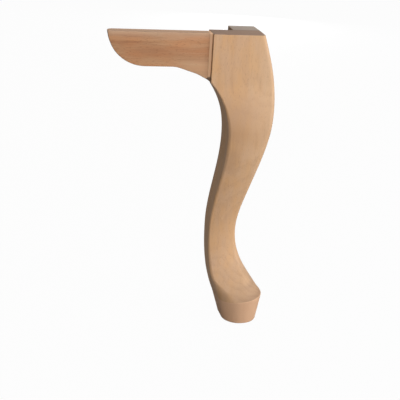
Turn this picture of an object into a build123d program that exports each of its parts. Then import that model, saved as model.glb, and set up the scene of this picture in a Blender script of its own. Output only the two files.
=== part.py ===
from build123d import *
import math
import os

os.makedirs("parts", exist_ok=True)

# A cabriole furniture leg, 250 mm high, with one shaped ear glued and dowelled to its inner side.
# Millimetres, +Z up, the foot on the floor. The leg is drawn from its inner top corner: its sawn
# sides face -Y (front) and +X (right). From the calf down the same curve is cut on both. At the end
# everything is moved so that the origin is the centre of the foot's flat base.
#
# A width of the leg is measured from the block's two flat inner faces, a drop from the top.

LEG_HEIGHT = 250.0

# Block and knee. The front is flat as far down as the ear reaches, the right side widens at once.
BLOCK_WIDTH = 42.0
FRONT_KNEE_WIDTH = 50.0
FRONT_KNEE_DROP = 78.0
SIDE_FLARE = 0.33             # how fast the right side widens below the top
SIDE_KNEE_WIDTH = 53.7
SIDE_KNEE_DROP = 53.0

# Calf, ankle and toe, alike on the front and on the right side
CALF_WIDTH = 39.5
CALF_HEIGHT = 120.0
CALF_SLOPE = 0.26
ANKLE_WIDTH = 32.0
ANKLE_HEIGHT = 80.0
INSTEP_WIDTH = 49.9
INSTEP_HEIGHT = 32.0
INSTEP_SLOPE = 0.77
LIP_SLOPE = 1.09              # how fast the toe draws in just above the lip

# Inner curve, from under the ear to the heel
SEAM_DROP = 38.7              # the ear ends and the leg's hollow begins
SEAM_SLOPE = 0.92             # how fast the hollow deepens there
HOLLOW_INSET = 15.8
HOLLOW_DROP = 86.0
ANKLE_INSET = 8.5
ANKLE_BACK_HEIGHT = 80.0
HEEL_SLOPE = 0.4

# Rounding of the front right and the inner long corner
BLOCK_ROUNDING = 3.5
KNEE_ROUNDING = 6.0
ANKLE_ROUNDING = 3.0
ROUNDEST_DROP = 88.0

# Rounding of the front left and the back right corner, which are left crisper
CRISP_BLOCK_ROUNDING = 1.5
CRISP_KNEE_ROUNDING = 2.8
CRISP_ANKLE_ROUNDING = 1.5
CRISP_TOE_ROUNDING = 3.0

# Foot, a round pad with an undercut. The leg's inner corner runs down to the floor as a heel.
FOOT_CENTRE = 38.3
LIP_RADIUS = 18.7
LIP_HEIGHT = 22.4
LIP_TILT = 6.8                # degrees by which the lip rises towards the right side
BASE_RADIUS = 15.0
TOE_TOP = 41.0                # above this height each section is a plain rounded square
TOE_ROUNDING = 7.0
HEEL_AT_LIP = 15.8
HEEL_AT_FLOOR = 21.9
HEEL_ROUNDING = 6.0
BASE_EASING = 0.8

# Notch for the corner of the furniture frame. Its floor is hidden behind the ear in the photo.
NOTCH_WIDTH = 20.0
NOTCH_LENGTH = 20.5
NOTCH_DEPTH = 46.0

# Ear: a quarter-round tip, a straight lower edge and a hollow sweep into the leg
EAR_LENGTH = 82.0
EAR_THICKNESS = 12.5
EAR_SETBACK = 2.5             # its face lies this far behind the front of the block
EAR_DEPTH = 26.7              # at the straight part of its lower edge
EAR_TIP_LENGTH = 30.0
EAR_SWEEP_LENGTH = 31.0
EAR_BACK_EASING = 5.5

# Dowels between ear and leg
DOWEL_DIAMETER = 6.0
DOWEL_LENGTH = 30.0
DOWEL_END_GAP = 1.0           # room for glue beyond each end of a dowel
UPPER_DOWEL_DROP = 10.0
DOWEL_SPACING = 15.0

SECTIONS_ABOVE_TOE = 16


def smooth_curve(height, knots):
    """Width at a height, by cubics between knots (height, width, slope), straight beyond them."""
    knots = sorted(knots)
    if height <= knots[0][0]:
        return knots[0][1] + knots[0][2] * (height - knots[0][0])
    if height >= knots[-1][0]:
        return knots[-1][1] + knots[-1][2] * (height - knots[-1][0])
    for (low, start, start_slope), (high, end, end_slope) in zip(knots, knots[1:]):
        if height <= high:
            span = high - low
            t = (height - low) / span
            return (
                (2 * t**3 - 3 * t**2 + 1) * start
                + (t**3 - 2 * t**2 + t) * span * start_slope
                + (3 * t**2 - 2 * t**3) * end
                + (t**3 - t**2) * span * end_slope
            )


def calf_to_lip():
    """The knots that the curves of the front and the right side share."""
    return [
        (CALF_HEIGHT, CALF_WIDTH, CALF_SLOPE),
        (ANKLE_HEIGHT, ANKLE_WIDTH, 0),
        (INSTEP_HEIGHT, INSTEP_WIDTH, -INSTEP_SLOPE),
        (LIP_HEIGHT, FOOT_CENTRE + LIP_RADIUS, -LIP_SLOPE),
    ]


def front_width(height):
    block_and_knee = [
        (LEG_HEIGHT, BLOCK_WIDTH, 0),
        (LEG_HEIGHT - SEAM_DROP, BLOCK_WIDTH, 0),
        (LEG_HEIGHT - FRONT_KNEE_DROP, FRONT_KNEE_WIDTH, 0),
    ]
    return smooth_curve(height, block_and_knee + calf_to_lip())


def side_width(height):
    block_and_knee = [
        (LEG_HEIGHT, BLOCK_WIDTH, -SIDE_FLARE),
        (LEG_HEIGHT - SIDE_KNEE_DROP, SIDE_KNEE_WIDTH, 0),
    ]
    return smooth_curve(height, block_and_knee + calf_to_lip())


def inner_inset(height):
    """Above the seam it runs out past the block, whose flat faces are cut afterwards."""
    return smooth_curve(
        height,
        [
            (LEG_HEIGHT, -0.3 * SEAM_DROP, 0),
            (LEG_HEIGHT - SEAM_DROP, 0, -SEAM_SLOPE),
            (LEG_HEIGHT - HOLLOW_DROP, HOLLOW_INSET, 0),
            (ANKLE_BACK_HEIGHT, ANKLE_INSET, 0),
            (LIP_HEIGHT, HEEL_AT_LIP, -HEEL_SLOPE),
        ],
    )


def corner_rounding(height, block, knee, ankle, toe):
    return smooth_curve(
        height,
        [
            (LEG_HEIGHT - SEAM_DROP, block, 0),
            (LEG_HEIGHT - ROUNDEST_DROP, knee, 0),
            (ANKLE_HEIGHT, ankle, 0),
            (TOE_TOP, toe, 0),
        ],
    )


def rounded_outline(height, corners):
    """Closed outline at one height: straight sides between corners (x, y, radius)."""
    lift = Vector(0, 0, height)
    arcs = []
    for i, (x, y, radius) in enumerate(corners):
        corner = Vector(x, y, height)
        before = (Vector(*corners[i - 1][:2]) + lift - corner).normalized()
        after = (Vector(*corners[(i + 1) % len(corners)][:2]) + lift - corner).normalized()
        half_angle = math.acos(before.dot(after)) / 2
        reach = radius / math.tan(half_angle)
        inwards = (before + after).normalized()
        middle = corner + inwards * (radius / math.sin(half_angle) - radius)
        arcs.append((corner + before * reach, middle, corner + after * reach))
    edges = []
    for i, (start, middle, end) in enumerate(arcs):
        edges.append(Edge.make_three_point_arc(start, middle, end))
        edges.append(Edge.make_line(end, arcs[(i + 1) % len(arcs)][0]))
    return Wire(edges)


def leg_section(height):
    """Each side is sawn to one curve, so every section is a rounded square set on the diagonal."""
    inner = inner_inset(height)
    front = front_width(height)
    side = side_width(height)
    rounding = corner_rounding(height, BLOCK_ROUNDING, KNEE_ROUNDING, ANKLE_ROUNDING, TOE_ROUNDING)
    crisp = corner_rounding(
        height, CRISP_BLOCK_ROUNDING, CRISP_KNEE_ROUNDING, CRISP_ANKLE_ROUNDING, CRISP_TOE_ROUNDING
    )
    return rounded_outline(
        height,
        [
            (inner, -inner, rounding),
            (inner, -front, crisp),
            (side, -front, rounding),
            (side, -inner, crisp),
        ],
    )


def foot_section(height, heel, outer, side, radius, crisp_radius):
    """A round pad that is drawn out at the back to the heel."""
    return rounded_outline(
        height,
        [
            (heel, -heel, HEEL_ROUNDING),
            (side, -outer, crisp_radius),
            (outer, -outer, radius),
            (outer, -side, crisp_radius),
        ],
    )


def pad_section(height, radius, heel):
    """The pad's own outline: nearly a circle, with short flats so that its corners can be lofted."""
    corner = 0.97 * radius
    side = FOOT_CENTRE + radius - 2.05 * corner
    return foot_section(height, heel, FOOT_CENTRE + radius, side, corner, corner)


def tilted(section, height, tilt):
    """Turned about the foot's centre so that its right side rises."""
    centre = Pos(FOOT_CENTRE, -FOOT_CENTRE, height)
    return centre * Rot(0, -tilt, 0) * centre.inverse() * section


def toe_section(height):
    """Between the lip and the ankle the pad's round outline turns into the leg's square one."""
    share = math.sqrt((TOE_TOP - height) / (TOE_TOP - LIP_HEIGHT))
    heel = inner_inset(height)
    lip_side = FOOT_CENTRE + LIP_RADIUS - 2.05 * 0.97 * LIP_RADIUS
    side = heel + share * (lip_side - HEEL_AT_LIP)
    radius = TOE_ROUNDING + share * (0.97 * LIP_RADIUS - TOE_ROUNDING)
    crisp_radius = CRISP_TOE_ROUNDING + share**2 * (0.97 * LIP_RADIUS - CRISP_TOE_ROUNDING)
    section = foot_section(height, heel, front_width(height), side, radius, crisp_radius)
    return tilted(section, height, LIP_TILT * share)


def make_leg_body():
    """A tapered pad up to the lip, then one smooth skin over toe, ankle and knee to the top."""
    base = pad_section(0, BASE_RADIUS, HEEL_AT_FLOOR)
    lip = tilted(pad_section(LIP_HEIGHT, LIP_RADIUS, HEEL_AT_LIP), LIP_HEIGHT, LIP_TILT)
    pad = Solid.make_loft([base, lip], True)
    pad = fillet(pad.faces().sort_by(Axis.Z)[0].edges(), BASE_EASING)
    toe = [toe_section(LIP_HEIGHT + share * (TOE_TOP - LIP_HEIGHT)) for share in (0.25, 0.55)]
    rise = (LEG_HEIGHT - TOE_TOP) / (SECTIONS_ABOVE_TOE - 1)
    leg = [leg_section(TOE_TOP + rise * i) for i in range(SECTIONS_ABOVE_TOE)]
    return pad + Solid.make_loft([lip] + toe + leg)


def make_leg(dowel_holes):
    reach = 2 * SIDE_KNEE_WIDTH
    corner_out = (Align.MIN, Align.MAX, Align.MIN)
    block = Box(reach, reach, LEG_HEIGHT + 1, align=corner_out)
    notch = Box(NOTCH_WIDTH, NOTCH_LENGTH, NOTCH_DEPTH + 1, align=corner_out)
    return (make_leg_body() & block) - Pos(0, 0, LEG_HEIGHT - NOTCH_DEPTH) * notch - dowel_holes


def make_ear(dowel_holes):
    """A flat board sawn to its outline, with the back of the sawn edge rounded over."""
    top = LEG_HEIGHT
    low = LEG_HEIGHT - EAR_DEPTH
    seam = LEG_HEIGHT - SEAM_DROP
    sweep_drop = SEAM_DROP - EAR_DEPTH
    tip = -EAR_LENGTH
    tip_end = tip + EAR_TIP_LENGTH
    tip_bulge = Vector(tip + 0.29 * EAR_TIP_LENGTH, top - 0.69 * EAR_DEPTH)
    tip_curve = Edge.make_spline(
        [Vector(tip, top), tip_bulge, Vector(tip_end, low)], [Vector(0.12, -1), Vector(1, 0)]
    )
    sweep = Edge.make_spline(
        [
            Vector(-EAR_SWEEP_LENGTH, low),
            Vector(-0.6 * EAR_SWEEP_LENGTH, low - 0.25 * sweep_drop),
            Vector(-0.26 * EAR_SWEEP_LENGTH, low - 0.58 * sweep_drop),
            Vector(0, seam),
        ],
        [Vector(1, 0), Vector(SEAM_SLOPE, -1)],
    )
    outline = Wire(
        [
            tip_curve,
            Edge.make_line((tip_end, low), (-EAR_SWEEP_LENGTH, low)),
            sweep,
            Edge.make_line((0, seam), (0, top)),
            Edge.make_line((0, top), (tip, top)),
        ]
    )
    face_y = EAR_SETBACK - BLOCK_WIDTH
    upright = Plane(origin=(0, face_y, 0), x_dir=(1, 0, 0), z_dir=(0, -1, 0))
    board = extrude(upright * make_face(outline), -EAR_THICKNESS)
    back = board.faces().sort_by(Axis.Y)[-1]
    sawn_edges = [e for e in back.edges() if round(e.center().Z, 3) != top and round(e.center().X, 3) != 0]
    return fillet(sawn_edges, EAR_BACK_EASING) - dowel_holes


def main():
    dowel_y = EAR_SETBACK - BLOCK_WIDTH + EAR_THICKNESS / 2
    upper_z = LEG_HEIGHT - UPPER_DOWEL_DROP
    dowel_places = [Pos(0, dowel_y, z) * Rot(0, 90, 0) for z in (upper_z, upper_z - DOWEL_SPACING)]
    radius = DOWEL_DIAMETER / 2
    holes = [place * Cylinder(radius, DOWEL_LENGTH + 2 * DOWEL_END_GAP) for place in dowel_places]
    dowels = [place * Cylinder(radius, DOWEL_LENGTH) for place in dowel_places]
    nodes = {
        "leg": make_leg(holes),
        "ear": make_ear(holes),
        "upper_dowel": dowels[0],
        "lower_dowel": dowels[1],
    }
    to_foot = Pos(-FOOT_CENTRE, FOOT_CENTRE, 0)
    for name, shape in nodes.items():
        placed = to_foot * shape
        placed.label = name
        export_step(placed, f"parts/{name}.step")
        size = placed.bounding_box().size
        print(name, "solids", len(placed.solids()), "valid", placed.is_valid, "volume", round(placed.volume),
              "size", round(size.X, 1), round(size.Y, 1), round(size.Z, 1))


main()
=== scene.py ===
# %% [markdown]
# # A cabriole leg in beech
#
# The object is a bare wooden furniture leg, 25 cm high. Two of its pieces show: the leg, which is sawn
# to an S-curve and worked to a round pad at the foot, and the ear, a flat board glued to its inner side.
# Two dowels sit inside the joint.
#
# The CAD model is loaded first. It gives the true sizes and stays where it is. Every piece below is
# made to fit inside its box.

# %% Load the CAD model
import math

import bmesh
import bpy
import numpy as np
from mathutils import Matrix, Vector


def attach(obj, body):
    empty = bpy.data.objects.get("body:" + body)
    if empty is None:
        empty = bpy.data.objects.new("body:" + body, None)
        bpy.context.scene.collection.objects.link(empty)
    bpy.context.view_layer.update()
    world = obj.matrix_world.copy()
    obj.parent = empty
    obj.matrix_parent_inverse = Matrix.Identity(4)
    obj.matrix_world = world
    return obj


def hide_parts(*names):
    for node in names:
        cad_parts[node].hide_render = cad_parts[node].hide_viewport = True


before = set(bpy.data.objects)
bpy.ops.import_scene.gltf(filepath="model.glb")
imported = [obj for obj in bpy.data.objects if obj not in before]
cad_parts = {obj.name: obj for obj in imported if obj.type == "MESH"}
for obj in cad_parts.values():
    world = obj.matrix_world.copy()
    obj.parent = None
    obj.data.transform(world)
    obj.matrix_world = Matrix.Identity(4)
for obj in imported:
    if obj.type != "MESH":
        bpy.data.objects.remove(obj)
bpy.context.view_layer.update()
print("CAD nodes:", sorted(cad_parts))

# %% [markdown]
# ## The camera
#
# A photograph fixes where the camera stood: the slopes of the leg's straight edges give its direction,
# and their lengths give its distance. Here the camera is 0.7 m from the leg's middle, a little to the
# left, and looks down by 21 degrees. Its three axes are written as the columns of a matrix, which is
# more exact than three angles. A camera looks along its own -Z, so the third column points away from
# the object.

# %% Set the camera
CAMERA_PLACE = (-0.1715, -0.6493, 0.3654)
SENSOR_WIDTH = 36
LENS = 76.3

camera = bpy.data.objects.new("camera", bpy.data.cameras.new("camera"))
bpy.context.collection.objects.link(camera)
camera_right = Vector((0.9828, -0.1758, 0.0570)).normalized()
camera_back = Vector((-0.1845, -0.9150, 0.3588))
camera_back = (camera_back - camera_back.dot(camera_right) * camera_right).normalized()
camera_up = camera_back.cross(camera_right)
axes = Matrix((camera_right, camera_up, camera_back)).transposed()
camera.matrix_world = Matrix.Translation(CAMERA_PLACE) @ axes.to_4x4()
camera.data.sensor_width = SENSOR_WIDTH
camera.data.lens = LENS
bpy.context.scene.camera = camera
bpy.context.scene.view_settings.view_transform = "Standard"
print("camera at", tuple(camera.location), "lens", camera.data.lens)

# %% [markdown]
# ## Drawing a curve from a few knots
#
# The leg's sawn curves are each given by a handful of knots: a height, a width and a slope. Between two
# knots a cubic polynomial is the simplest curve that meets both widths and both slopes, so the curve has
# no kink. This could also be a Bezier curve object, but a formula can be asked for its width at any
# height, which the next steps need.


# %% A smooth curve through knots
def cubic(t, step, start, start_slope, end, end_slope):
    """The Hermite cubic (2t3 - 3t2 + 1) a + (t3 - 2t2 + t) h sa + (3t2 - 2t3) b + (t3 - t2) h sb. It runs
    from a to b over the length h with the slopes sa and sb, while t goes from 0 to 1."""
    return (
        (2 * t**3 - 3 * t**2 + 1) * start
        + (t**3 - 2 * t**2 + t) * step * start_slope
        + (3 * t**2 - 2 * t**3) * end
        + (t**3 - t**2) * step * end_slope
    )


def smooth_curve(height, knots):
    """Width at each height: a cubic between two knots, and a straight line beyond the outer ones."""
    heights, widths, slopes = np.array(sorted(knots), dtype=float).T
    k = np.clip(np.searchsorted(heights, height) - 1, 0, len(heights) - 2)
    step = heights[k + 1] - heights[k]
    t = np.clip((height - heights[k]) / step, 0, 1)
    inside = cubic(t, step, widths[k], slopes[k], widths[k + 1], slopes[k + 1])
    below = np.minimum(height - heights[0], 0) * slopes[0]
    above = np.maximum(height - heights[-1], 0) * slopes[-1]
    return inside + below + above


print("halfway between 0 and 1, flat at both ends:", smooth_curve(0.5, [(0, 0, 0), (1, 1, 0)]))

# %% [markdown]
# ## The leg's curves
#
# All lengths are in millimetres, measured from the leg's inner top corner, as in the CAD source. The
# foot's centre becomes the origin later. The front and the right side have the same curve from the calf
# down. Above it they differ: the front bulges little and low, and the right side bulges more and higher
# up. The inner side is flat in the block. Below the ear it hollows in, comes back at the ankle and draws
# in again to the heel. The long corners are rounded, most below the knee and at the toe.

# %% Sizes and knots of the leg
TOP = 250.0
EAR_DROP = 38.7
SEAM = TOP - EAR_DROP
BLOCK_WIDTH = 42.0
TOE_END = 50.0
TOE_TOP = 41.0
LIP = 22.4
LIP_RADIUS = 18.7
LIP_RISE = 0.119
BASE_RADIUS = 15.0
FOOT_CENTRE = 38.3
HEEL_AT_LIP = 15.8
HEEL_AT_FLOOR = 21.9

calf_to_lip = [
    (120.0, 39.5, 0.26),
    (80.0, 32.0, 0),
    (32.0, 49.9, -0.77),
    (LIP, FOOT_CENTRE + LIP_RADIUS, -1.09),
]
front_knots = [(TOP, BLOCK_WIDTH, 0), (SEAM, BLOCK_WIDTH, 0), (172.0, 50.0, 0)] + calf_to_lip
side_knots = [(TOP, BLOCK_WIDTH, -0.33), (197.0, 53.7, 0)] + calf_to_lip
inner_knots = [(TOP, -11.6, 0), (SEAM, 0, -0.92), (164.0, 15.8, 0), (80.0, 8.5, 0), (LIP, HEEL_AT_LIP, -0.4)]
rounding_knots = [(SEAM, 3.5, 0), (162.0, 6.0, 0), (80.0, 3.0, 0), (TOE_TOP, 7.0, 0)]
crisp_knots = [(SEAM, 1.5, 0), (162.0, 2.8, 0), (80.0, 1.5, 0), (TOE_TOP, 3.0, 0)]
for height in (250, 197, 172, 80, 26):
    widths = [round(float(smooth_curve(height, knots)), 1) for knots in (front_knots, side_knots)]
    print(height, "mm up: front and side", widths)

# %% [markdown]
# ## A rounded outline
#
# Each horizontal slice of the leg is a closed outline with straight sides and round corners. A circle's
# arc is exactly a rational Bezier curve with three points, so one formula serves for every corner: for
# outward and inward ones, and for a corner that is straight, which gives evenly spread points. The
# formula works on all slices at once, because every corner is an array over the slices.

# %% Rounded outlines, all slices at once
SHORTEST_CUT = 0.25


def corner_cut(corners, radii):
    """How far from each corner its arc begins: radius / tan(half the corner's angle)."""
    before = np.roll(corners, 1, axis=1) - corners
    after = np.roll(corners, -1, axis=1) - corners
    before /= np.linalg.norm(before, axis=2, keepdims=True)
    after /= np.linalg.norm(after, axis=2, keepdims=True)
    cosine = np.clip((before * after).sum(axis=2), -0.99999, 0.99999)
    cut = np.maximum(radii * np.sqrt((1 + cosine) / (1 - cosine)), SHORTEST_CUT)
    return cut, before, after, cosine


def rounded_outlines(corners, radii, arc_points, side_points):
    """Points (slice, along, xy). An arc is ((1-s)2 A + 2 w s (1-s) C + s2 B) / ((1-s)2 + 2 w s (1-s) + s2)
    with w the sine of half the corner's angle; a side is the straight mix of its two ends."""
    cut, before, after, cosine = corner_cut(corners, radii)
    start = corners + before * cut[..., None]
    end = corners + after * cut[..., None]
    weight = np.sqrt((1 - cosine) / 2)
    parts = []
    for k, (arc_count, side_count) in enumerate(zip(arc_points, side_points)):
        s = np.linspace(0, 1, arc_count)[None, :, None]
        w = weight[:, k, None, None]
        a = start[:, k, None, :]
        b = end[:, k, None, :]
        c = corners[:, k, None, :]
        bottom = (1 - s) ** 2 + 2 * w * s * (1 - s) + s**2
        parts.append(((1 - s) ** 2 * a + 2 * w * s * (1 - s) * c + s**2 * b) / bottom)
        t = (np.arange(1, side_count + 1) / (side_count + 1))[None, :, None]
        next_start = start[:, (k + 1) % corners.shape[1], None, :]
        parts.append((1 - t) * b + t * next_start)
    return np.concatenate(parts, axis=1)


def inset(outlines, distance):
    """Each outline moved inwards: a point goes against its outward normal, the tangent turned right."""
    tangent = np.roll(outlines, -1, axis=1) - np.roll(outlines, 1, axis=1)
    tangent /= np.linalg.norm(tangent, axis=2, keepdims=True) + 1e-9
    normal = np.stack([tangent[..., 1], -tangent[..., 0]], axis=2)
    return outlines - normal * distance[:, None, None]


square = np.array([[[0, 0], [10, 0], [10, 10], [0, 10]]], dtype=float)
print("a rounded square's points:", rounded_outlines(square, np.full((1, 4), 2.0), [5] * 4, [3] * 4).shape)

# %% [markdown]
# ## The leg's slices
#
# The real leg is a square billet, sawn to the S-curve from two sides and then worked to a round pad at
# the foot. So a slice is a square that stands between the inner and the outer curves. Below the toe its
# two side corners draw in, which turns it into a near circle with a heel. In the block a square notch is
# taken out of the inner corner for the frame of the furniture.
#
# A stack of such slices is a grid, and a grid is quickly turned into faces. All slices have the same
# number of points, and the points of the notch lie on the plain corner below it. Two slices at the
# notch's floor, one with and one without it, give that floor. The slices stand closer together at the
# lip, and on the small quarter circles that ease the floor's and the top's edges.

# %% Heights of the leg's slices
NOTCH_DEPTH = 46.0
NOTCH_FLOOR = TOP - NOTCH_DEPTH
NOTCH_X = 20.0
NOTCH_Y = 20.5
TOP_EASE = 0.5
FLOOR_EASE = 0.8
SLICE = 0.9

quarter = np.linspace(0, math.pi / 2, 5)
heights = np.concatenate([
    FLOOR_EASE * (1 - np.cos(quarter))[:-1],
    np.linspace(FLOOR_EASE, LIP - 1, 18)[:-1],
    np.linspace(LIP - 1, LIP + 1, 9),
    np.arange(LIP + 2 * SLICE, NOTCH_FLOOR - SLICE / 3, SLICE),
    [NOTCH_FLOOR, NOTCH_FLOOR],
    np.arange(NOTCH_FLOOR + SLICE, TOP - TOP_EASE - 0.2, SLICE),
    TOP - TOP_EASE + TOP_EASE * np.sin(quarter),
])
notched = np.zeros(len(heights), dtype=bool)
notched[np.searchsorted(heights, NOTCH_FLOOR) + 1:] = True
insets = np.zeros(len(heights))
insets[:len(quarter) - 1] = FLOOR_EASE * (1 - np.sin(quarter))[:-1]
insets[-len(quarter):] = TOP_EASE * (1 - np.cos(quarter))
print(len(heights), "slices, notched:", int(notched.sum()))

# %% [markdown]
# ## The lip of the pad
#
# The pad flares out in a straight line from the floor, and the toe's curve comes down to meet it. A hand
# breaks such an edge a little with sandpaper. The smaller of two widths would give a sharp edge, so a
# smooth minimum takes its place.

# %% The pad and its lip
LIP_EDGE = 0.42
LIP_REACH = 3.0
ROUND_CORNER = 0.97
CORNER_SPREAD = 2.05


def soft_lip(heights, curve):
    """Smooth minimum (a + b - sqrt((a-b)2 + e2)) / 2 of the pad's flare and the toe's curve, e wide."""
    flare = FOOT_CENTRE + LIP_RADIUS + (heights - LIP) * (LIP_RADIUS - BASE_RADIUS) / LIP
    edge = (flare + curve - np.sqrt((flare - curve) ** 2 + LIP_EDGE**2)) / 2
    return np.where(heights < LIP + LIP_REACH, edge, curve)


def side_corner(radius):
    """Where the two side corners of a round slice stand: their arcs then close its circle."""
    return FOOT_CENTRE + radius - CORNER_SPREAD * ROUND_CORNER * radius


print("side corners at the lip and at the floor:", side_corner(LIP_RADIUS), side_corner(BASE_RADIUS))

# %% [markdown]
# ## The corners of each slice
#
# A slice has six corners: three outer ones, the inner one, and one more on each inner side, which carries
# the notch's edge. Below the notch that extra corner is straight and doesn't show. A share of roundness
# runs from 1 at the lip to 0 above the toe and mixes the circle's corners with the square's.

# %% Corners of each slice
TOE_SHARE = [
    (LIP, 1, -0.026),
    (27.0, 0.866, -0.03),
    (32.6, 0.67, -0.05),
    (TOE_TOP, 0.12, -0.035),
    (TOE_END, 0, 0),
]
STRAIGHT_CORNER = 0.42
SMALL_RADIUS = 0.6
NOTCH_RADIUS = 0.4
HEEL_RADIUS = 6.0


def leg_corners(heights, notched):
    """Six corners per slice and their radii. The pad widens from floor to lip by straight lines; above the
    lip the share of roundness falls from 1 to 0, and two corners slide from the circle to the square."""
    down = np.clip((LIP - heights) / LIP, 0, 1)
    pad = LIP_RADIUS - down * (LIP_RADIUS - BASE_RADIUS)
    over_lip = heights > LIP
    front = soft_lip(heights, smooth_curve(heights, front_knots))
    right = soft_lip(heights, smooth_curve(heights, side_knots))
    curve = smooth_curve(heights, inner_knots)
    heel_line = HEEL_AT_LIP + down * (HEEL_AT_FLOOR - HEEL_AT_LIP)
    inner = np.where(over_lip, np.maximum(curve, 0), heel_line)
    share = np.where(over_lip, smooth_curve(np.clip(heights, LIP, TOE_END), TOE_SHARE), 1)
    slide = np.where(over_lip, inner + share * (side_corner(LIP_RADIUS) - HEEL_AT_LIP), side_corner(pad))

    in_block = heights >= NOTCH_FLOOR - 0.01
    back_share = np.where(in_block, (NOTCH_X - inner) / (right - inner), STRAIGHT_CORNER)
    left_share = np.where(in_block, (NOTCH_Y - inner) / (front - inner), STRAIGHT_CORNER)
    back_x = inner + back_share * (right - inner)
    left_x = inner + left_share * (slide - inner)
    left_y = inner + left_share * (front - inner)
    back_y = inner + back_share * (slide - inner)
    x = [left_x, slide, right, right, back_x, np.where(notched, NOTCH_X, inner)]
    y = [left_y, front, front, slide, back_y, np.where(notched, NOTCH_Y, inner)]

    at = np.clip(heights, TOE_TOP, SEAM)
    rounding = smooth_curve(at, rounding_knots)
    crisp = smooth_curve(at, crisp_knots)
    outer_radius = rounding + share * (ROUND_CORNER * pad - rounding)
    side_radius = crisp + share**2 * (ROUND_CORNER * pad - crisp) + np.minimum(curve, 0) * over_lip
    side_radius = np.maximum(side_radius, SMALL_RADIUS)
    inner_radius = np.where(notched, NOTCH_RADIUS, rounding + share * (HEEL_RADIUS - rounding))
    small = np.full_like(heights, SMALL_RADIUS)
    radii = np.stack([small, side_radius, outer_radius, side_radius, small, inner_radius], axis=1)
    return np.stack([np.stack(x, axis=1), -np.stack(y, axis=1)], axis=2), radii


corners, radii = leg_corners(heights, notched)
print("corners:", corners.shape, "widest radius", round(float(radii.max()), 1))

# %% [markdown]
# ## The crown
#
# The front and the right side were sanded by hand, which leaves them slightly round, by less than a
# millimetre. Light falls off gently across such a face, where a flat one would look like plastic. Every
# point between two corner arcs is moved outwards by a parabola.

# %% Crown the two sawn faces
ARC_POINTS = (5, 14, 14, 14, 5, 12)
SIDE_POINTS = (26, 34, 34, 26, 14, 14)
CROWN_START = LIP + 4
CROWN = [(CROWN_START, 0, 0), (TOE_TOP, 0.9, 0), (150.0, 0.8, 0), (TOP, 0.25, 0)]


def crowned(outlines, heights):
    """Between two corner arcs a point moves outwards by crown * (1 - (2t-1)2), with t the share of the way
    along the face."""
    crown = np.where(heights < CROWN_START, 0, smooth_curve(heights, CROWN))
    front = sum(ARC_POINTS[:2]) + SIDE_POINTS[0]
    right = sum(ARC_POINTS[:3]) + sum(SIDE_POINTS[:2])
    faces = ((front, SIDE_POINTS[1], 1, -1), (right, SIDE_POINTS[2], 0, 1))
    for first, count, axis, outwards in faces:
        t = np.arange(1, count + 1) / (count + 1)
        outlines[:, first:first + count, axis] += outwards * crown[:, None] * (1 - (2 * t - 1) ** 2)
    return outlines


outlines = rounded_outlines(corners, radii, ARC_POINTS, SIDE_POINTS)
outlines = crowned(outlines, heights)
outlines = inset(outlines, insets)
print("leg grid:", outlines.shape[:2])

# %% [markdown]
# ## From a grid to a mesh
#
# A closed grid of points becomes quads between neighbours, and the two open ends are closed by one flat
# face each. The points are moved so that the origin is the foot's centre, and scaled to metres.

# %% Grid to mesh object
SMOOTH_ANGLE = math.radians(40)
SAME_POINT = 2e-6
NO_LENGTH = 1e-6


def grid_object(name, grid):
    """Quads join point (i, j) to (i, j+1), (i+1, j+1) and (i+1, j), with j running round; the first and
    the last ring are closed by a flat face."""
    rings, points = grid.shape[:2]
    metres = (grid + np.array([-FOOT_CENTRE, FOOT_CENTRE, 0])) / 1000
    i, j = np.meshgrid(np.arange(rings - 1) * points, np.arange(points), indexing="ij")
    after = (j + 1) % points
    quads = np.stack([i + j, i + after, i + points + after, i + points + j], axis=-1)
    faces = quads.reshape(-1, 4).tolist()
    faces.append(list(range(points))[::-1])
    faces.append(list(range((rings - 1) * points, rings * points)))
    mesh = bpy.data.meshes.new(name)
    mesh.from_pydata(metres.reshape(-1, 3).tolist(), [], faces)
    mesh.update()
    piece = bpy.data.objects.new(name, mesh)
    bpy.context.collection.objects.link(piece)
    clean_up(piece)
    return piece


def clean_up(piece):
    """Points closer than two microns are joined, faces with no area go, normals point outwards, and only
    edges past the smooth angle stay sharp."""
    work = bmesh.new()
    work.from_mesh(piece.data)
    bmesh.ops.remove_doubles(work, verts=work.verts, dist=SAME_POINT)
    bmesh.ops.dissolve_degenerate(work, edges=work.edges, dist=NO_LENGTH)
    bmesh.ops.recalc_face_normals(work, faces=work.faces)
    for face in work.faces:
        face.smooth = True
    for edge in work.edges:
        if len(edge.link_faces) == 2 and edge.calc_face_angle(0) > SMOOTH_ANGLE:
            edge.smooth = False
    work.to_mesh(piece.data)
    open_edges = sum(len(edge.link_faces) != 2 for edge in work.edges)
    volume = round(work.calc_volume() * 1e9)
    print(piece.name, "faces", len(work.faces), "open edges", open_edges, "volume mm3", volume)
    work.free()


# %% [markdown]
# ## The leg
#
# The lip isn't level: the pad's rim stands a little higher on the right. So each slice of the foot is
# tilted, by a share that grows from the floor to the lip and fades out again above the toe.

# %% Tilt the lip and build the leg
toe_share = np.clip((TOE_END - heights) / (TOE_END - LIP), 0, 1)
rise = LIP_RISE * np.where(heights < LIP, heights / LIP, toe_share**2 * (3 - 2 * toe_share))
lifted = heights[:, None] + rise[:, None] * (outlines[..., 0] - FOOT_CENTRE)
leg = grid_object("shaped_leg", np.concatenate([outlines, lifted[..., None]], axis=2))

# %% [markdown]
# ## The ear's sawn line
#
# The ear is a flat board. Its outline has a quarter-round tip, a straight part and a hollow sweep that
# runs on into the leg. Each knot is a point x, z and a direction, and the same cubic as above joins them,
# now for x and z at once.

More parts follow.
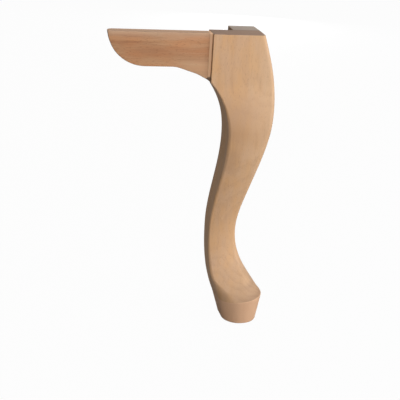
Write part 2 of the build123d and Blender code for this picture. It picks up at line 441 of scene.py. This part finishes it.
# %% The sawn line
EAR_LENGTH = 82.0
EAR_HEIGHT = 26.7
EAR_LOW = TOP - EAR_HEIGHT
sawn_knots = np.array([
    (-EAR_LENGTH, TOP, 0.13, -1.05),
    (-EAR_LENGTH + 8.7, TOP - 18.4, 0.80, -0.76),
    (-EAR_LENGTH + 30.0, EAR_LOW, 1.0, 0),
    (-31.0, EAR_LOW, 1.0, 0),
    (-18.6, EAR_LOW - 3.0, 0.95, -0.31),
    (-8.06, EAR_LOW - 6.96, 0.87, -0.50),
    (0.0, SEAM, 0.66, -0.80),
])


def sawn_path(knots, count):
    """Points x, z on cubics between the knots, spread evenly by the straight distances between them."""
    points = knots[:, :2]
    tangents = knots[:, 2:]
    lengths = np.linalg.norm(np.diff(points, axis=0), axis=1)
    starts = np.concatenate([[0], np.cumsum(lengths)])
    s = np.linspace(0, starts[-1], count)
    k = np.clip(np.searchsorted(starts, s) - 1, 0, len(lengths) - 1)
    t = ((s - starts[k]) / lengths[k])[:, None]
    return cubic(t, lengths[k][:, None], points[k], tangents[k], points[k + 1], tangents[k + 1])


sawn_line = sawn_path(sawn_knots, 400)
sawn_tangent = np.gradient(sawn_line, axis=0)
sawn_tangent /= np.linalg.norm(sawn_tangent, axis=1, keepdims=True)
sawn_normal = np.stack([sawn_tangent[:, 1], -sawn_tangent[:, 0]], axis=1)
print("sawn line from", sawn_line[0], "to", sawn_line[-1])

# %% [markdown]
# ## The ear
#
# The saw leaves sharp edges, and the maker rounds the one at the back with a large radius and only breaks
# those in front. The board is built as upright slices from front to back. Each slice is the sawn line
# moved inwards by the rounding at that depth, then closed by the joint and the top edge.

# %% One slice of the ear
CORNER = 0.4
JOINT_CORNER = 0.3
TIP_RUN_ON = 6.0
SWEEP_RUN_ON = 9.0
TIP_POINTS = 60
SWEEP_POINTS = 120
CUT_POINTS = 170
JOINT_POINTS = 26
TOP_POINTS = 50


def small_arc(start, corner, end):
    """Five points on the quadratic Bezier curve (1-s)2 A + 2 s (1-s) C + s2 B."""
    s = np.linspace(0, 1, 5)[:, None]
    return (1 - s) ** 2 * [start] + 2 * s * (1 - s) * [corner] + s**2 * [end]


def ear_slice(depth, sawn_inset, plain_inset):
    """One ring (x, y, z). The sawn line is moved against its outward normal by sawn_inset, run on straight
    past both ends, cut where it meets the top and the joint, and closed by straight lines with a small
    arc at each corner."""
    top = TOP - plain_inset
    joint = -plain_inset
    line = sawn_line - sawn_normal * sawn_inset
    before = line[:1] - TIP_RUN_ON * sawn_tangent[0]
    after = line[-1:] + SWEEP_RUN_ON * sawn_tangent[-1]
    line = np.concatenate([before, line, after])
    tip = line[:TIP_POINTS]
    sweep = line[-SWEEP_POINTS:]
    number = np.arange(len(line))
    first = np.interp(-(top - CORNER), -tip[:, 1], number[:TIP_POINTS])
    last = np.interp(joint - JOINT_CORNER, sweep[:, 0], number[-SWEEP_POINTS:])
    k = np.linspace(first, last, CUT_POINTS)
    sawn = np.stack([np.interp(k, number, line[:, 0]), np.interp(k, number, line[:, 1])], axis=1)
    tip_x = np.interp(-top, -tip[:, 1], tip[:, 0])
    low_z = np.interp(joint, sweep[:, 0], sweep[:, 1])

    tip_arc = small_arc((tip_x + CORNER, top), (tip_x, top), sawn[0])
    low_arc = small_arc(sawn[-1], (joint, low_z), (joint, low_z + CORNER))
    joint_line = np.linspace((joint, low_z + CORNER), (joint, top - CORNER), JOINT_POINTS)
    top_arc = small_arc((joint, top - CORNER), (joint, top), (joint - CORNER, top))
    top_line = np.linspace((joint - CORNER, top), (tip_x + CORNER, top), TOP_POINTS)
    ring = np.concatenate([tip_arc[:-1], sawn, low_arc[1:-1], joint_line[1:-1], top_arc, top_line[1:-1]])
    return np.insert(ring, 1, depth, axis=1)


print("points in a slice:", len(ear_slice(0, 0, 0)))

# %% Build the ear
EAR_FACE = -39.5
EAR_THICKNESS = 12.5
EAR_BACK = EAR_FACE + EAR_THICKNESS
FRONT_EASE = 0.6
BACK_ROUND = 5.5
PLAIN_EASE = 0.4

back = np.linspace(0, math.pi / 2, 13)
front_depths = EAR_FACE + FRONT_EASE * (1 - np.cos(quarter))
middle_depths = np.linspace(EAR_FACE + FRONT_EASE, EAR_BACK - BACK_ROUND, 6)[1:-1]
back_depths = EAR_BACK - BACK_ROUND + BACK_ROUND * np.sin(back)
near_back = np.clip((back_depths - (EAR_BACK - PLAIN_EASE)) / PLAIN_EASE, 0, 1)
flat = np.zeros(len(middle_depths))
depths = np.concatenate([front_depths, middle_depths, back_depths])
sawn_insets = np.concatenate([FRONT_EASE * (1 - np.sin(quarter)), flat, BACK_ROUND * (1 - np.cos(back))])
plain_insets = np.concatenate([PLAIN_EASE * (1 - np.sin(quarter)), flat, PLAIN_EASE * near_back**2])
ear = grid_object("shaped_ear", np.array(list(map(ear_slice, depths, sawn_insets, plain_insets))))

# %% [markdown]
# ## Shader sums in plain Python
#
# A procedural material is a formula on the point's position. Wiring it by hand gives a large tree that
# is hard to read, so a small class wraps a node's output: adding or multiplying two of them adds the
# Math node that does it. Everything else, such as a noise texture, comes from one method.


# %% A socket that can be used in sums
class Wire:
    """One output of a node. Sums and products with numbers or other wires add Math nodes."""

    def __init__(self, nodes, socket):
        self.nodes = nodes
        self.socket = socket

    def __add__(self, other):
        return self.nodes.math("ADD", self, other)

    def __radd__(self, other):
        return self.nodes.math("ADD", other, self)

    def __sub__(self, other):
        return self.nodes.math("SUBTRACT", self, other)

    def __rsub__(self, other):
        return self.nodes.math("SUBTRACT", other, self)

    def __mul__(self, other):
        return self.nodes.math("MULTIPLY", self, other)

    def __rmul__(self, other):
        return self.nodes.math("MULTIPLY", other, self)

    def __truediv__(self, other):
        return self.nodes.math("DIVIDE", self, other)

    def __pow__(self, other):
        return self.nodes.math("POWER", self, other)

    def __abs__(self):
        return self.nodes.math("ABSOLUTE", self)

    def fraction(self):
        """What is left when the whole number is taken off."""
        return self.nodes.math("FRACT", self)

    def step(self, low, high):
        """0 below low, 1 above high, smooth between; low may be the larger one."""
        settings = {"interpolation_type": "SMOOTHSTEP"}
        inputs = {"Value": self, "From Min": low, "From Max": high}
        return self.nodes.node("ShaderNodeMapRange", settings, inputs)

    def span(self, low, low_full, high_full, high):
        """1 from low_full to high_full, and smoothly down to 0 at low and at high."""
        return self.step(low, low_full) * self.step(high, high_full)


# %% Node trees and materials
class Nodes:
    """A node tree, with the one method that adds any node to it."""

    def __init__(self, tree):
        self.tree = tree

    def node(self, kind, settings=None, inputs=None, output=0):
        """A new node: its settings first, then numbers or wires for its sockets."""
        node = self.tree.nodes.new(kind)
        for name, value in (settings or {}).items():
            setattr(node, name, value)
        for name, value in (inputs or {}).items():
            self.put(value, node.inputs[name])
        return Wire(self, node.outputs[output])

    def put(self, value, socket):
        """Links a wire to a socket, or sets the socket to a number or a colour."""
        if isinstance(value, Wire):
            self.tree.links.new(value.socket, socket)
        else:
            socket.default_value = value

    def math(self, operation, *values):
        """One Math node on numbers and wires."""
        return self.node("ShaderNodeMath", {"operation": operation}, dict(enumerate(values)))


class Paint(Nodes):
    """A material with a Principled shader."""

    def __init__(self, name):
        self.material = bpy.data.materials.new(name)
        self.material.use_nodes = True
        super().__init__(self.material.node_tree)
        self.shader = self.tree.nodes["Principled BSDF"]

    def split(self, vector):
        """The three parts of a vector as wires."""
        return [self.node("ShaderNodeSeparateXYZ", None, {0: vector}, k) for k in range(3)]

    def blend(self, share, first, second):
        """Mix of two colours, with share as the part of the second one."""
        return self.node("ShaderNodeMix", {"data_type": "RGBA"}, {0: share, 6: first, 7: second}, 2)


def colour(red, green, blue):
    """A colour read off as it looks on screen, 0 to 255, as the linear numbers that a shader takes."""
    screen = np.array([red, green, blue]) / 255
    linear = np.where(screen > 0.04045, ((screen + 0.055) / 1.055) ** 2.4, screen / 12.92)
    return (*[float(v) for v in linear], 1.0)


print("a pale beech as linear numbers:", [round(v, 3) for v in colour(200, 166, 138)])

# %% [markdown]
# ## Beech
#
# Beech is a pale pinkish brown wood with an even, fine grain. Close up it has three marks: faint
# growth rings, thin lines along the fibres, and small dark dashes, the rays. Where the fibres are cut
# across, on the top and under the foot, it is darker and the rings show as arcs.
#
# A picture of wood would slide over the curves. A solid pattern doesn't: it is worked out at each point
# of the wood from its position, so the rings run through the leg as in a real billet. Positions are in
# millimetres from the foot's centre.

# %% Solid beech
RING_WIDTH = 3.4
RING_BEND = 14


class Beech(Paint):
    """Beech wood. The ring number is the distance from the pith, bent by noise, over the ring width; a
    fibre line is noise stretched along the grain; a ray is stretched noise above a threshold."""

    def __init__(self, name, grain_axis, pith, seed, tones):
        super().__init__(name)
        position = self.node("ShaderNodeTexCoord", None, None, "Object")
        normal = self.node("ShaderNodeTexCoord", None, None, "Normal")
        mm = self.node("ShaderNodeVectorMath", {"operation": "SCALE"}, {0: position, "Scale": 1000.0})
        place = self.split(mm)
        self.x, self.y, self.z = place
        self.facing = self.split(normal)
        self.tones = tones
        self.along = place.pop(grain_axis)
        self.side_a = place[0] + seed * 37.0
        self.side_b = place[1] + seed * 11.0

        self.warp = self.stretched(30, 120, 2.0)
        slow = self.stretched(26, 90, 3.0)
        from_a = place[0] - pith[0] + (self.warp - 0.5) * RING_BEND
        from_b = place[1] - pith[1] + (slow - 0.5) * RING_BEND
        distance = (from_a * from_a + from_b * from_b) ** 0.5
        ring = (distance / RING_WIDTH).fraction()
        self.late = ring.step(0.45, 0.92) * ring.step(1.0, 0.95)
        self.end = abs(self.facing[grain_axis]).step(0.35, 0.98)
        self.band = self.stretched(3.2, 46, 3.0, 0.6)
        self.fibre = self.stretched(1 / 1.6, 14, 4.0, 0.6)
        self.thread = self.stretched(1 / 5, 9, 2.0)
        self.ray = self.stretched(1 / 1.5, 2.6, 1.0, 0.4).step(0.60, 0.72)
        self.pores = self.stretched(1 / 6, 1.2, 2.0, 0.6)
        patch = self.stretched(8, 24, 3.0, 0.55)
        self.base = self.blend(patch.step(0.3, 0.7), tones["light"], tones["warm"])

    def stretched(self, width, length, detail, roughness=0.5):
        """Noise from 0 to 1, with patches this many millimetres wide and long along the grain."""
        sides = {"X": self.side_a / width, "Y": self.side_b / width, "Z": self.along / length}
        place = self.node("ShaderNodeCombineXYZ", None, sides)
        inputs = {"Vector": place, "Scale": 1.0, "Detail": detail, "Roughness": roughness}
        return self.node("ShaderNodeTexNoise", None, inputs)

    def lay(self, share, tone):
        """Lays a tone over the wood's colour so far; share says how much of it shows."""
        self.base = self.blend(share, self.base, tone)

    def lay_figure(self, rings, streaks):
        """Rings, bands and fibres, then the rays, which don't show on end grain."""
        self.lay(self.late * rings, self.tones["dark"])
        self.lay(self.band.step(0.50, 0.80) * streaks, self.tones["dark"])
        self.lay(self.band.step(0.46, 0.20) * streaks, self.tones["pale"])
        self.lay(self.fibre.step(0.50, 0.78) * streaks * 0.6, self.tones["dark"])
        self.lay(self.ray * (0.12 + streaks * 0.3) * (1 - self.end), self.tones["speck"])

    def end_grain(self):
        """The colour where the fibres are cut across: arcs of late wood, and open pores."""
        cut = self.blend(self.late * 0.5, self.tones["end"], self.tones["end_late"])
        return self.blend(self.pores.step(0.45, 0.75) * 0.45, cut, self.tones["end_late"])

    def finish(self):
        """Puts the colour, the roughness and a bump of 0.12 mm into the shader."""
        grain = self.thread * 0.5 + self.fibre * 0.6 - self.ray * 0.25
        height = grain + self.pores * 0.25 * self.end + self.pores * 0.12
        bump = self.node("ShaderNodeBump", None, {"Strength": 0.35, "Distance": 0.00012, "Height": height})
        self.put(self.base, self.shader.inputs["Base Color"])
        self.put(0.56 + self.fibre * 0.12 + self.end * 0.1, self.shader.inputs["Roughness"])
        self.put(bump, self.shader.inputs["Normal"])


print("rings every", RING_WIDTH, "mm")

# %% [markdown]
# ## Tones
#
# Both woods are beech, but the leg is pale and yellowish and the ear is redder and darker. The tones
# were chosen so that the lit wood looks as it does in the photograph. Late wood is the dark part of a
# growth ring, and a speck is a ray.

# %% Tones of both woods
LEG_TONES = {
    "light": colour(197, 158, 123),
    "warm": colour(202, 157, 112),
    "dark": colour(172, 132, 96),
    "pale": colour(206, 171, 135),
    "speck": colour(146, 106, 80),
    "end": colour(146, 119, 99),
    "end_late": colour(122, 94, 76),
}
EAR_TONES = {
    "light": colour(180, 136, 98),
    "warm": colour(185, 129, 86),
    "dark": colour(150, 101, 67),
    "pale": colour(190, 151, 117),
    "speck": colour(118, 78, 54),
    "end": colour(150, 116, 90),
    "end_late": colour(118, 84, 62),
}
# dark glue line, and painted shadow in the notch and on the strip along the joint
GLUE_AND_SHADOW = colour(72, 50, 36)
print("tones of the leg's wood:", sorted(LEG_TONES))

# %% [markdown]
# ## The leg's marks, painted shade and painted light
#
# The block's top shows that two boards were glued together: a darker one in front, a paler one behind
# and a thin dark line between. Painted shade makes the knee, the calf and the toe a little darker, and
# painted light makes the pad paler and the wood paler towards the right. Painted shadow darkens the notch
# and the narrow strip along the joint.
#
# Each mark is a share from 0 to 1, made of smooth steps in x, y and z, that lays a tone over the wood.

# %% The leg's wood
GLUE_LINE = 17.8
REAR_END = colour(162, 146, 132)
# painted light: the pad below the lip is laid paler
PAD_PAINTED_LIGHT = colour(214, 170, 137)
# heights at which the painted shade on the knee and the calf begins, is full, is still full and ends
KNEE_SHADE = (152.0, 176.0, 184.0, 212.0)
CALF_SHADE = (132.0, 146.0, 152.0, 164.0)


def paint_light_towards_right(wood):
    """Painted light: the wood is laid paler from left to right, over the middle 45 mm, where the light from
    the right falls.
    """
    wood.lay(wood.x.step(-22.73, 22.73) * 0.75, wood.tones["pale"])


def glued_boards(wood):
    """Two boards on the end grain, and the glue line between them on every side."""
    glue = abs(wood.y - GLUE_LINE).step(0.55, 0.3)
    behind = wood.y.step(GLUE_LINE - 0.1, GLUE_LINE + 0.1)
    end_grain = wood.blend(behind, wood.end_grain(), REAR_END)
    end_grain = wood.blend(glue * 0.8, end_grain, GLUE_AND_SHADOW)
    wood.lay(glue * 0.35, wood.tones["speck"])
    wood.lay(wood.end, end_grain)


def leg_painted_shade_and_light(wood):
    """Painted shade: a darker knee and calf, most on the left but not on the inner side, and a darker toe;
    painted light: a paler pad.
    """
    outer = wood.facing[0].step(-0.85, -0.5)
    knee = wood.z.span(*KNEE_SHADE) * (0.3 + 0.35 * wood.x.step(5.0, -20.0))
    calf = wood.z.span(*CALF_SHADE) * wood.x.step(-8.0, -18.0)
    over_lip = wood.z - wood.x * LIP_RISE
    wood.lay(knee * outer, wood.tones["dark"])
    wood.lay(calf * outer * 0.45, wood.tones["dark"])
    # painted shade: the toe darker just above the lip
    wood.lay(over_lip.step(LIP + 12.0, LIP + 5.0) * 0.3, wood.tones["dark"])
    # painted light: the pad paler below the lip
    wood.lay(over_lip.step(LIP + 0.3, LIP - 0.3) * 0.65, PAD_PAINTED_LIGHT)


def leg_shadows(wood):
    """Shadow in the notch, and on the narrow strip of the inner side that stands in front of the ear."""
    wall_x = NOTCH_X - FOOT_CENTRE
    wall_y = FOOT_CENTRE - NOTCH_Y
    notch = wood.x.step(wall_x + 0.3, wall_x + 0.1) * wood.y.step(wall_y - 0.2, wall_y)
    wood.lay(notch * wood.z.step(NOTCH_FLOOR - 0.5, NOTCH_FLOOR - 0.1) * 0.5, GLUE_AND_SHADOW)
    ear_front = EAR_FACE + FOOT_CENTRE
    joint = wood.x.step(0.5 - FOOT_CENTRE, 0.2 - FOOT_CENTRE) * wood.y.step(ear_front + 0.3, ear_front + 0.1)
    wood.lay(joint * wood.z.step(SEAM - 0.8, SEAM + 0.2) * 0.3, GLUE_AND_SHADOW)


leg_beech = Beech("leg_beech", 2, (8.0, 80.0), 1, LEG_TONES)
# painted light: paler towards the right
paint_light_towards_right(leg_beech)
leg_beech.lay_figure(rings=0.13, streaks=0.36)
glued_boards(leg_beech)
# painted shade on the knee, the calf and the toe, and painted light on the pad
leg_painted_shade_and_light(leg_beech)
leg_shadows(leg_beech)
leg_beech.finish()
print("nodes in the leg's material:", len(leg_beech.tree.nodes))

# %% [markdown]
# ## The ear's marks, painted light and painted shadow
#
# The ear is a redder board. It is paler along its top edge, and painted light makes it paler low down
# near the joint. A darker streak of heartwood runs through it from the tip, which widens and fades. A
# painted highlight makes its edge at the joint a pale strip, and a painted shadow puts a dark spot at
# the strip's foot.

# %% The ear's wood and the dowels'
HEARTWOOD = colour(160, 106, 70)
SAPWOOD = colour(180, 150, 124)
# painted highlight on the ear's edge at the joint, and painted shadow at the joint's foot
ARRIS_HIGHLIGHT = colour(212, 169, 131)
JOINT_FOOT_SHADOW = colour(60, 42, 30)
HEART_HEIGHT = 235.5


def ear_tones_and_painted_light(wood):
    """The heart streak, whose middle wanders by noise, and the pale top; painted light makes the low end
    pale.
    """
    middle = wood.z - HEART_HEIGHT - (wood.warp - 0.5) * 22 - (wood.x + 60) * 0.05
    low_end = wood.z.step(233.0, 225.0) * wood.x.step(-FOOT_CENTRE - 36.0, -FOOT_CENTRE - 16.0)
    wood.lay(abs(middle).step(6.5, 1.5) * wood.x.step(-118.0, -84.0) * 0.38, HEARTWOOD)
    wood.lay(wood.z.step(243.5, 250.5) * 0.6, SAPWOOD)
    # painted light: paler low down near the joint
    wood.lay(low_end * 0.6, wood.tones["pale"])


def ear_joint_highlight_and_shadow(wood):
    """A painted highlight on the arris at the joint and a painted shadow as the dark spot at its foot, a
    circle by its squared radius.
    """
    wood.lay(wood.x.step(-FOOT_CENTRE - 2.6, -FOOT_CENTRE - 2.0), ARRIS_HIGHLIGHT)
    off_x = wood.x - (-FOOT_CENTRE - 0.8)
    off_z = wood.z - (SEAM + 1.5)
    wood.lay((off_x * off_x + off_z * off_z).step(14.0, 5.0) * 0.85, JOINT_FOOT_SHADOW)


ear_beech = Beech("ear_beech", 0, (95.0, 190.0), 2, EAR_TONES)
ear_beech.lay_figure(rings=0.22, streaks=0.80)
ear_beech.lay(ear_beech.end, ear_beech.end_grain())
# heartwood and pale top, and painted light low down near the joint
ear_tones_and_painted_light(ear_beech)
# painted highlight at the joint and painted shadow at its foot
ear_joint_highlight_and_shadow(ear_beech)
ear_beech.finish()

dowel_beech = Beech("dowel_beech", 0, (20.0, 20.0), 3, LEG_TONES)
dowel_beech.lay_figure(rings=0.10, streaks=0.22)
dowel_beech.lay(dowel_beech.end, dowel_beech.end_grain())
dowel_beech.finish()
print("nodes in the other two materials:", len(ear_beech.tree.nodes), len(dowel_beech.tree.nodes))

# %% [markdown]
# ## Dressing the pieces
#
# The new leg and ear stand for their CAD nodes, which are then hidden. The dowels are inside the joint
# and keep their CAD shape. Nothing moves, so the leg and the ear ride on the one body, root.

# %% Give each piece its finish and its place in the model
for piece, paint, slot, node in ((leg, leg_beech, "leg_beech", "leg"), (ear, ear_beech, "ear_beech", "ear")):
    piece.data.materials.append(paint.material)
    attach(piece, "root")
    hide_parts(node)
for name in ("upper_dowel", "lower_dowel"):
    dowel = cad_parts[name]
    dowel.data.materials.clear()
    dowel.data.materials.append(dowel_beech.material)
print("dressed:", leg.name, ear.name, "and two dowels")

# %% [markdown]
# ## Floor and background
#
# The photograph has a pure white background. More light would wash out the wood, so the floor itself
# looks white to the camera and stays an ordinary grey floor for the light that falls on the leg. A small
# share of plain floor is kept in what the camera sees.

# %% The floor
WHITE = (1, 1, 1, 1)
FLOOR_REACH = 12.0
FLOOR_GREY = 0.36
FLOOR_WHITE_SHARE = 0.97

floor_mesh = bpy.data.meshes.new("floor")
floor_corners = [(x * FLOOR_REACH, y * FLOOR_REACH, 0) for x, y in ((-1, -1), (1, -1), (1, 1), (-1, 1))]
floor_mesh.from_pydata(floor_corners, [], [(0, 1, 2, 3)])
floor = bpy.data.objects.new("floor", floor_mesh)
bpy.context.collection.objects.link(floor)

floor_paint = Paint("white_floor")
floor_paint.put((FLOOR_GREY, FLOOR_GREY, FLOOR_GREY, 1), floor_paint.shader.inputs["Base Color"])
floor_paint.put(0.9, floor_paint.shader.inputs["Roughness"])
plain = Wire(floor_paint, floor_paint.shader.outputs[0])
white = floor_paint.node("ShaderNodeEmission", None, {"Color": WHITE, "Strength": 1.0})
seen = floor_paint.node("ShaderNodeLightPath", None, None, "Is Camera Ray")
floor_look = floor_paint.node("ShaderNodeMixShader", None, {0: seen * FLOOR_WHITE_SHARE, 1: plain, 2: white})
floor_paint.put(floor_look, floor_paint.tree.nodes["Material Output"].inputs["Surface"])
floor_mesh.materials.append(floor_paint.material)
print("floor", 2 * FLOOR_REACH, "m wide")

# %% [markdown]
# ## The sky
#
# The sky is white to the camera too, and only a weak light for everything else. Rays that the wood
# reflects see it at about half, so the sanded faces keep a soft sheen on their edges.

# %% The sky
SKY_STRENGTH = 0.16
SHEEN_SHARE = 0.45

world = bpy.data.worlds.new("studio")
world.use_nodes = True
bpy.context.scene.world = world
sky = Nodes(world.node_tree)
sky_light = sky.tree.nodes["Background"]
sky.put(WHITE, sky_light.inputs["Color"])
sky.put(SKY_STRENGTH, sky_light.inputs["Strength"])
sky_weak = Wire(sky, sky_light.outputs[0])
sky_white = sky.node("ShaderNodeBackground", None, {"Color": WHITE, "Strength": 1.0})
to_camera = sky.node("ShaderNodeLightPath", None, None, "Is Camera Ray")
to_gloss = sky.node("ShaderNodeLightPath", None, None, "Is Glossy Ray")
settings = {"operation": "MULTIPLY_ADD", "use_clamp": True}
sky_share = sky.node("ShaderNodeMath", settings, {0: to_gloss, 1: SHEEN_SHARE, 2: to_camera})
sky_look = sky.node("ShaderNodeMixShader", None, {0: sky_share, 1: sky_weak, 2: sky_white})
sky.put(sky_look, sky.tree.nodes["World Output"].inputs["Surface"])
print("sky strength", sky_light.inputs["Strength"].default_value)

# %% [markdown]
# ## Light
#
# In the photograph the front of the leg is bright, its left side is dark and its top is dull. So the
# main light is large, soft and stands in front. One on the right brightens the front towards its right
# edge. A weak one high up reaches the top, and a small low one behind the leg lights its back. There is
# none on the left.


# %% Lamps
def soft_lamp(name, place, aim_height, size, power):
    """A round lamp that points at this height of the foot's axis; a lamp shines along its own -Z."""
    lamp = bpy.data.objects.new(name, bpy.data.lights.new(name, "AREA"))
    lamp.data.shape = "DISK"
    lamp.data.size = size
    lamp.data.energy = power
    lamp.location = place
    direction = Vector((0, 0, aim_height)) - Vector(place)
    lamp.rotation_euler = direction.to_track_quat("-Z", "Y").to_euler()
    bpy.context.collection.objects.link(lamp)


soft_lamp("main_light", (0.0, -1.38, 1.02), 0.14, 1.0, 15.5)
soft_lamp("right_light", (1.42, -0.68, 0.50), 0.13, 0.9, 18.5)
soft_lamp("top_light", (0.1, 0.45, 1.5), 0.2, 0.8, 6)
soft_lamp("back_light", (0.4, 1.7, 0.12), 0.12, 0.2, 9)
